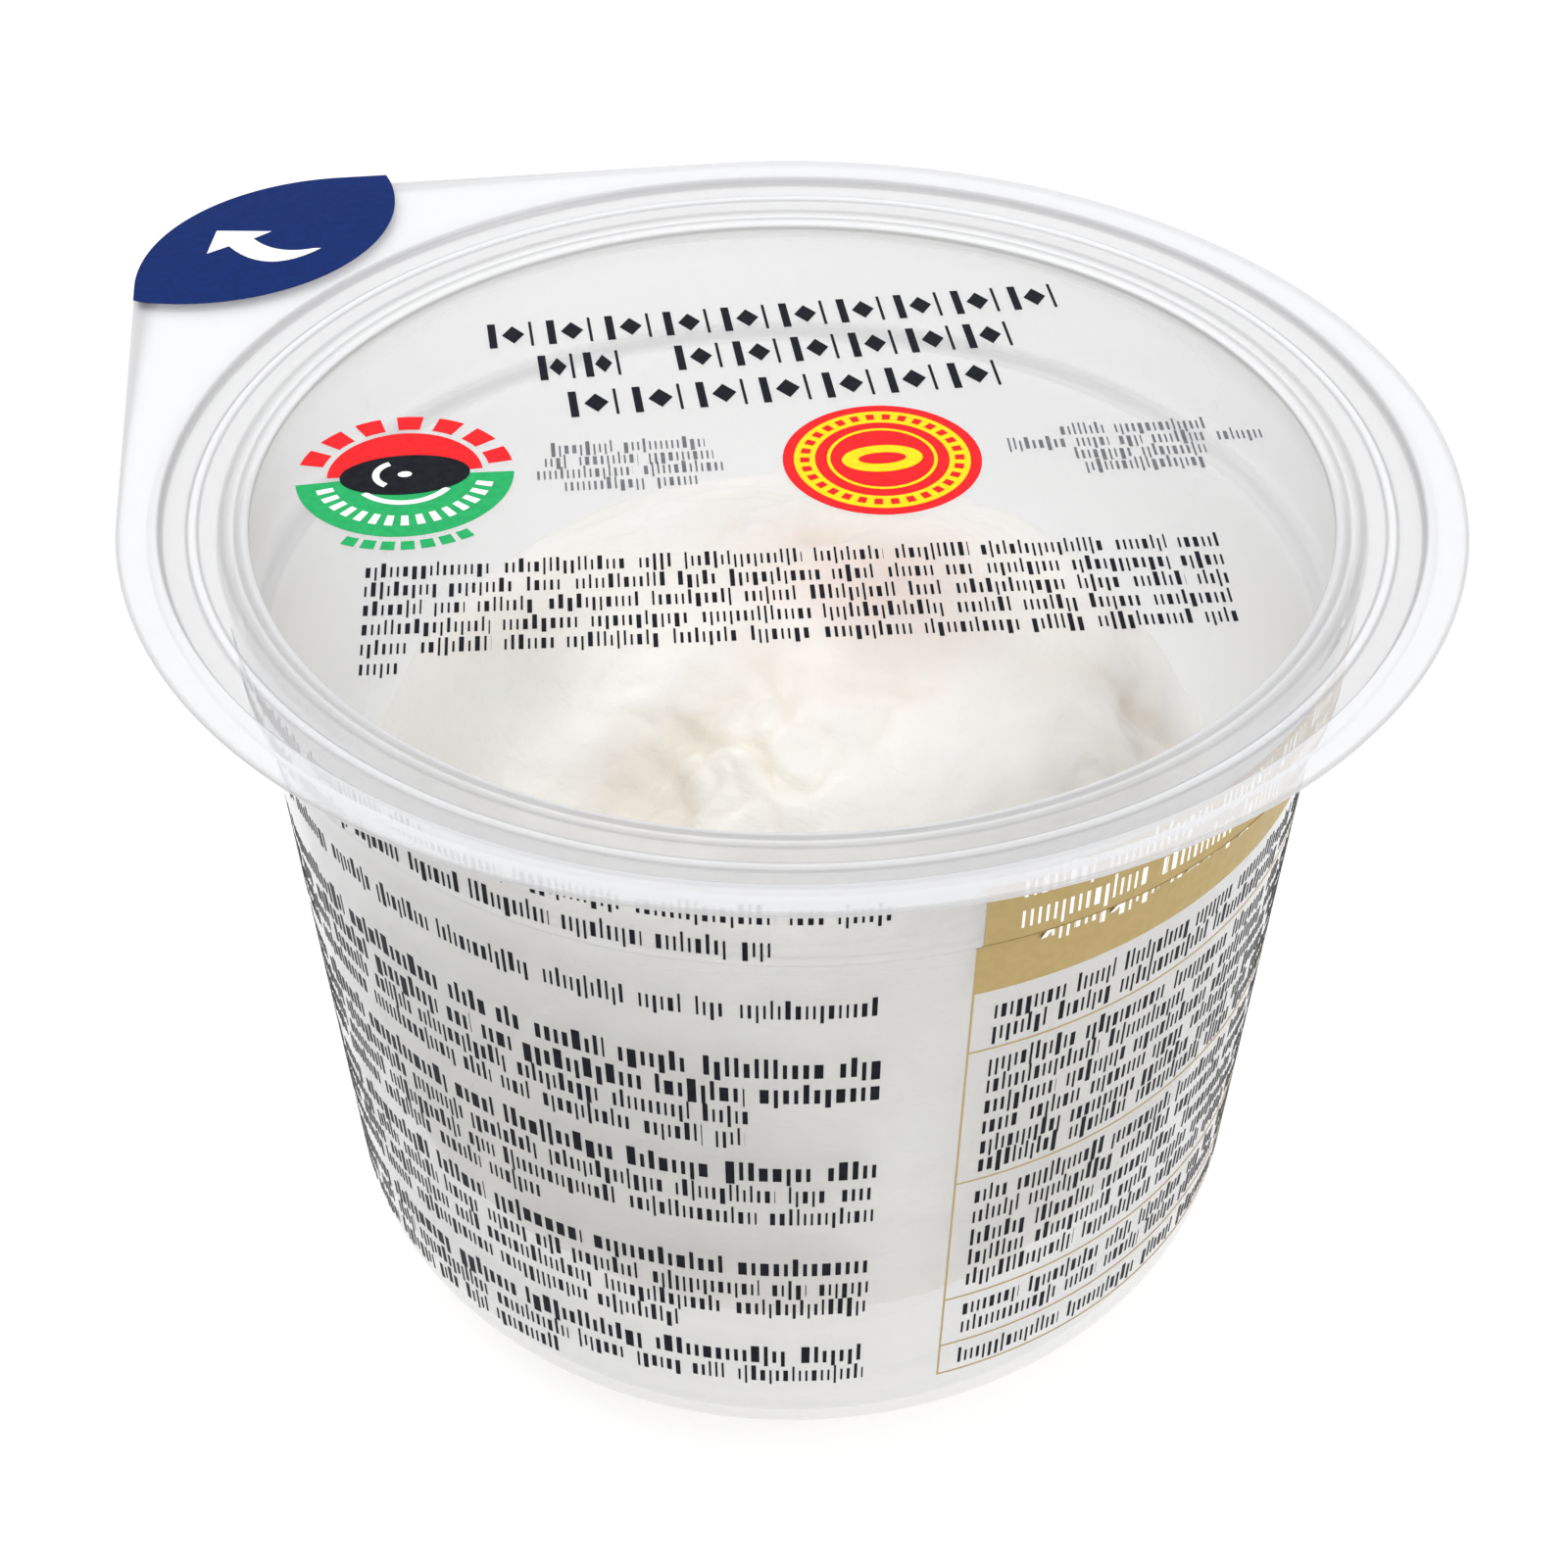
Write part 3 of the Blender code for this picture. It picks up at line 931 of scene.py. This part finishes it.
def make_seals():
    """Two plain round seals: a red and green one with a dark middle, and one of red and yellow rings."""
    x, y = -27.3 * MM, 2.2 * MM
    left, left_over, left_top = (on_film(x, y, 0.0, i * INK_LAYER) for i in range(3))
    red, green, dark, white, yellow = Sheet(), Sheet(), Sheet(), Sheet(), Sheet()
    ring_sector(red, left, 0.6 * MM, 5.5 * MM, 3.0, 177.0)
    ring_dashes(red, left, 6.0 * MM, 7.7 * MM, 8.0, 172.0, 7, 0.62)
    ring_sector(green, left, 0.6 * MM, 7.7 * MM, 183.0, 357.0)
    ring_dashes(green, left, 8.3 * MM, 9.3 * MM, 240.0, 302.0, 7, 0.7)
    ring_dashes(white, left_over, 5.2 * MM, 6.4 * MM, 192.0, 350.0, 15, 0.5)
    ring_sector(white, left_over, 3.3 * MM, 3.8 * MM, 215.0, 325.0)
    disc(dark, left_over, 4.6 * MM, 2.5 * MM)
    ring_sector(white, on_film(x - 0.5 * MM, y, 0.0, 2 * INK_LAYER), 1.3 * MM, 1.8 * MM, 110.0, 235.0)
    disc(white, left_top, 0.5 * MM, 0.35 * MM)
    x, y = 6.5 * MM, 0.2 * MM
    right, right_over, right_top = (on_film(x, y, 0.0, i * INK_LAYER) for i in range(3))
    ring_sector(red, right, 6.3 * MM, 7.1 * MM, 0.0, 360.0)
    ring_sector(yellow, right, 4.8 * MM, 6.3 * MM, 0.0, 360.0)
    ring_dashes(red, right_over, 5.2 * MM, 5.85 * MM, 40.0, 400.0, 30, 0.5)
    disc(red, right, 4.8 * MM, 4.8 * MM)
    ring_sector(yellow, right_over, 3.7 * MM, 3.95 * MM, 0.0, 360.0)
    disc(yellow, right_over, 2.9 * MM, 1.7 * MM)
    disc(red, right_top, 1.7 * MM, 0.7 * MM)
    red.build("seal_red", RED_INK, "red_print")
    green.build("seal_green", GREEN_INK, "green_print")
    dark.build("seal_dark", DARK_INK, "dark_print")
    white.build("seal_white", WHITE_INK, "white_print")
    yellow.build("seal_yellow", YELLOW_INK, "yellow_print")


# The blue leaf in the film's corner, bounded by a circle, and the arrow on it, in mm
LEAF_CENTRE = (-42.0, 43.2)
LEAF_RADIUS = 15.0
LEAF_INSET = 0.15 * MM
ARROW_HEAD = ((-36.9, 38.9), (-41.2, 39.5), (-41.9, 35.9), (-40.2, 36.9))
ARROW_TIP_LOW = (-33.0, 35.7)
ARROW_TIP_HIGH = (-33.0, 35.9)
ARROW_NECK = (-38.3, 37.9)


def leaf_outline():
    """The film's corner inside the leaf's circle, closed by the circle's own arc."""
    centre_x, centre_y, radius = LEAF_CENTRE[0] * MM, LEAF_CENTRE[1] * MM, LEAF_RADIUS * MM
    corner = []
    for i in range(361):
        degrees = 90.0 + 90.0 * i / 360.0
        reach = outline_radius(degrees) - LEAF_INSET
        x, y = reach * math.cos(math.radians(degrees)), reach * math.sin(math.radians(degrees))
        if math.hypot(x - centre_x, y - centre_y) <= radius:
            corner.append((x, y))
    first, last = corner[0], corner[-1]
    begin = math.atan2(last[1] - centre_y, last[0] - centre_x)
    finish = math.atan2(first[1] - centre_y, first[0] - centre_x)
    if begin > 0.0:
        begin -= 2.0 * math.pi
    bow = [begin + (finish - begin) * i / 40.0 for i in range(1, 40)]
    return corner + [(centre_x + radius * math.cos(a), centre_y + radius * math.sin(a)) for a in bow]


def make_tab():
    """The blue leaf on the peel corner and its plain curved arrow."""
    leaf = Sheet()
    leaf.plate(leaf_outline(), on_film(0.0, 0.0))
    leaf.build("tab_leaf", BLUE_INK, "blue_print")
    arrow = Sheet()
    outline = list(ARROW_HEAD)
    outline += bow_points(ARROW_HEAD[-1], ARROW_TIP_LOW, -2.3)
    outline += bow_points(ARROW_TIP_HIGH, ARROW_NECK, 1.15)
    arrow.plate([(x * MM, y * MM) for x, y in outline], on_film(0.0, 0.0, 0.0, INK_LAYER))
    arrow.build("tab_arrow", WHITE_INK, "white_print")


def bow_points(start, end, sag, count=12):
    """Points after start up to end along a shallow bow, which bulges by sag to the left of the way."""
    along_x, along_y = end[0] - start[0], end[1] - start[1]
    length = math.hypot(along_x, along_y)
    points = []
    for i in range(1, count + 1):
        share = i / count
        bulge = sag * 4.0 * share * (1.0 - share) / length
        x = start[0] + along_x * share - along_y * bulge
        y = start[1] + along_y * share + along_x * bulge
        points.append((x, y))
    return points


# Rows of the wall's left panel: height in mm, right end as a bearing, bold or not
LEFT_ROWS = (
    (59.4, -88.3, False),
    (56.5, -98.7, False),
    (49.7, -88.6, False),
    (43.9, -88.2, True),
    (41.4, -88.2, True),
    (39.2, -101.3, False),
    (37.0, -101.9, False),
    (33.3, -88.2, True),
    (31.0, -88.2, False),
    (28.6, -88.2, False),
    (26.4, -125.7, False),
    (22.9, -88.3, True),
    (20.6, -88.3, False),
    (18.4, -88.3, False),
    (16.2, -110.2, False),
    (12.7, -88.6, True),
    (10.5, -88.6, False),
    (8.3, -126.6, False),
)

# The table on the right: its left side's bearing, how far round it reaches, and its rules' heights in mm
TABLE_LEFT = -79.4
TABLE_RIGHT = -12.0
TABLE_TOP = 61.3
HEADER_FOOT = 50.2
TABLE_RULES = (44.5, 31.0, 18.0, 12.6, 9.2)
TABLE_ROWS = (47.4, 45.3, 42.1, 40.0, 37.9, 35.8, 33.7, 31.8, 28.4, 26.2, 23.7, 21.5, 19.2, 15.7, 13.6, 10.0)
HEADER_ROWS = ((59.3, 3.6), (56.6, 3.6), (53.9, 6.7))
PANEL_LEFT = -172.0
RULE_HALF_HEIGHT = 0.07
RULE_WIDTH = 0.22

# The stretch of the header that crosses the step in the wall
STEP_PRINT_LOW = STEP_TOP - STEP_DROP - 0.36 * MM
STEP_PRINT_HIGH = STEP_TOP + 0.26 * MM
STEP_PRINT_LIFT = 0.05 * MM


def make_wall_print():
    """The side's print: rows of plain marks on the left, and a gold headed table on the right."""
    rng = random.Random(5)
    text = Sheet()
    for height, right, bold in LEFT_ROWS:
        wall_line(text, PANEL_LEFT, right, height * MM, (1.35 if bold else 1.25) * MM, rng, bold)
    for height in TABLE_ROWS:
        wall_line(text, TABLE_LEFT + 2.6, TABLE_RIGHT, height * MM, 1.25 * MM, rng)
    text.build("wall_text_marks", DARK_INK, "dark_print")
    gold = Sheet()
    wall_box(gold, TABLE_LEFT, TABLE_RIGHT, HEADER_FOOT * MM, STEP_PRINT_LOW, 4)
    wall_box(gold, TABLE_LEFT, TABLE_RIGHT, STEP_PRINT_LOW, STEP_PRINT_HIGH, 4, on_step)
    wall_box(gold, TABLE_LEFT, TABLE_RIGHT, STEP_PRINT_HIGH, TABLE_TOP * MM, 4)
    rules = Sheet()
    for height in TABLE_RULES:
        low, high = (height - RULE_HALF_HEIGHT) * MM, (height + RULE_HALF_HEIGHT) * MM
        wall_box(rules, TABLE_LEFT, TABLE_RIGHT, low, high)
    wall_box(rules, TABLE_LEFT, TABLE_LEFT + RULE_WIDTH, TABLE_RULES[-1] * MM, HEADER_FOOT * MM, 30)
    gold.build("table_header", GOLD_INK, "gold_print")
    rules.build("table_rules", GOLD_INK, "gold_print")
    pale = Sheet()
    for height, indent in HEADER_ROWS:
        wall_line(pale, TABLE_LEFT + indent, TABLE_RIGHT, height * MM, 1.5 * MM, rng)
    pale.build("header_marks", WHITE_INK, "white_print")


def on_step(u, v, lift):
    """Places a layout across the small step in the wall, between the lower wall and the band above it."""
    share = min(max((v - STEP_PRINT_LOW) / (STEP_PRINT_HIGH - STEP_PRINT_LOW), 0.0), 1.0)
    reach = outer_wall_radius(STEP_PRINT_LOW) * (1.0 - share) + outer_wall_radius(STEP_PRINT_HIGH) * share
    reach += lift + STEP_PRINT_LIFT
    bearing = math.radians(u)
    return (reach * math.cos(bearing), reach * math.sin(bearing), v)


# ------------------------------------------------------ stage, light and camera


FLOOR_HALF = 3.0


def make_stage():
    """A plain white floor, and an even white world round it."""
    material, tree = new_material("studio_white")
    output = node(tree, "ShaderNodeOutputMaterial")
    shader = node(tree, "ShaderNodeBsdfPrincipled", Roughness=0.9)
    shader.inputs["Base Color"].default_value = (0.42, 0.42, 0.42, 1.0)
    shader.inputs["Specular IOR Level"].default_value = 0.1
    shader.inputs["Emission Color"].default_value = (1.0, 1.0, 1.0, 1.0)
    shader.inputs["Emission Strength"].default_value = 0.62
    tree.links.new(shader.outputs[0], output.inputs["Surface"])
    corners = [(x * FLOOR_HALF, y * FLOOR_HALF, 0) for x, y in ((-1, -1), (1, -1), (1, 1), (-1, 1))]
    floor = add_mesh("floor", corners, [(0, 1, 2, 3)], material)
    world = bpy.data.worlds.new("studio")
    world.use_nodes = True
    world.node_tree.nodes["Background"].inputs["Color"].default_value = (1.0, 1.0, 1.0, 1.0)
    world.node_tree.nodes["Background"].inputs["Strength"].default_value = 0.95
    bpy.context.scene.world = world


def area_light(name, place, aim, size, power):
    light = bpy.data.lights.new(name, "AREA")
    light.shape = "DISK"
    light.size = size
    light.energy = power
    holder = bpy.data.objects.new(name, light)
    holder.location = place
    holder.rotation_euler = (Vector(aim) - Vector(place)).to_track_quat("-Z", "Y").to_euler()
    bpy.context.scene.collection.objects.link(holder)


def make_light():
    """A soft key light from behind on the tab's side, and a soft fill from the front right."""
    middle = (0.0, 0.0, 0.04)
    area_light("key", (-0.45, 0.35, 0.85), middle, size=0.9, power=4.2)
    area_light("fill", (0.6, -0.5, 0.5), middle, size=0.6, power=2.6)


def make_camera():
    """The view of the pack from in front and above, a little round towards the tab's side."""
    camera = bpy.data.cameras.new("camera")
    camera.sensor_width = 36.0
    camera.lens = 70.97
    camera.clip_start = 0.01
    camera.clip_end = 10.0
    holder = bpy.data.objects.new("camera", camera)
    azimuth, elevation, distance = math.radians(-7.0), math.radians(38.83), 237.5 * MM
    target = Vector((-0.57 * MM, 0.07 * MM, 38.2 * MM))
    level = math.cos(elevation)
    back = Vector((math.sin(azimuth) * level, -math.cos(azimuth) * level, math.sin(elevation)))
    holder.location = target + back * distance
    holder.rotation_euler = (-back).to_track_quat("-Z", "Y").to_euler()
    bpy.context.scene.collection.objects.link(holder)
    bpy.context.scene.camera = holder


def limit_bounces():
    """Keeps light paths short, with enough see-through steps for the cup's walls, film and print."""
    cycles = bpy.context.scene.cycles
    cycles.max_bounces = 6
    cycles.transparent_max_bounces = 14
    cycles.caustics_reflective = False
    cycles.caustics_refractive = False


def main():
    bpy.context.scene.view_settings.view_transform = "Standard"
    limit_bounces()
    make_camera()
    make_light()
    make_stage()
    make_tub()
    make_film()
    make_ball()
    make_title()
    make_film_text()
    make_seals()
    make_tab()
    make_wall_print()


main()
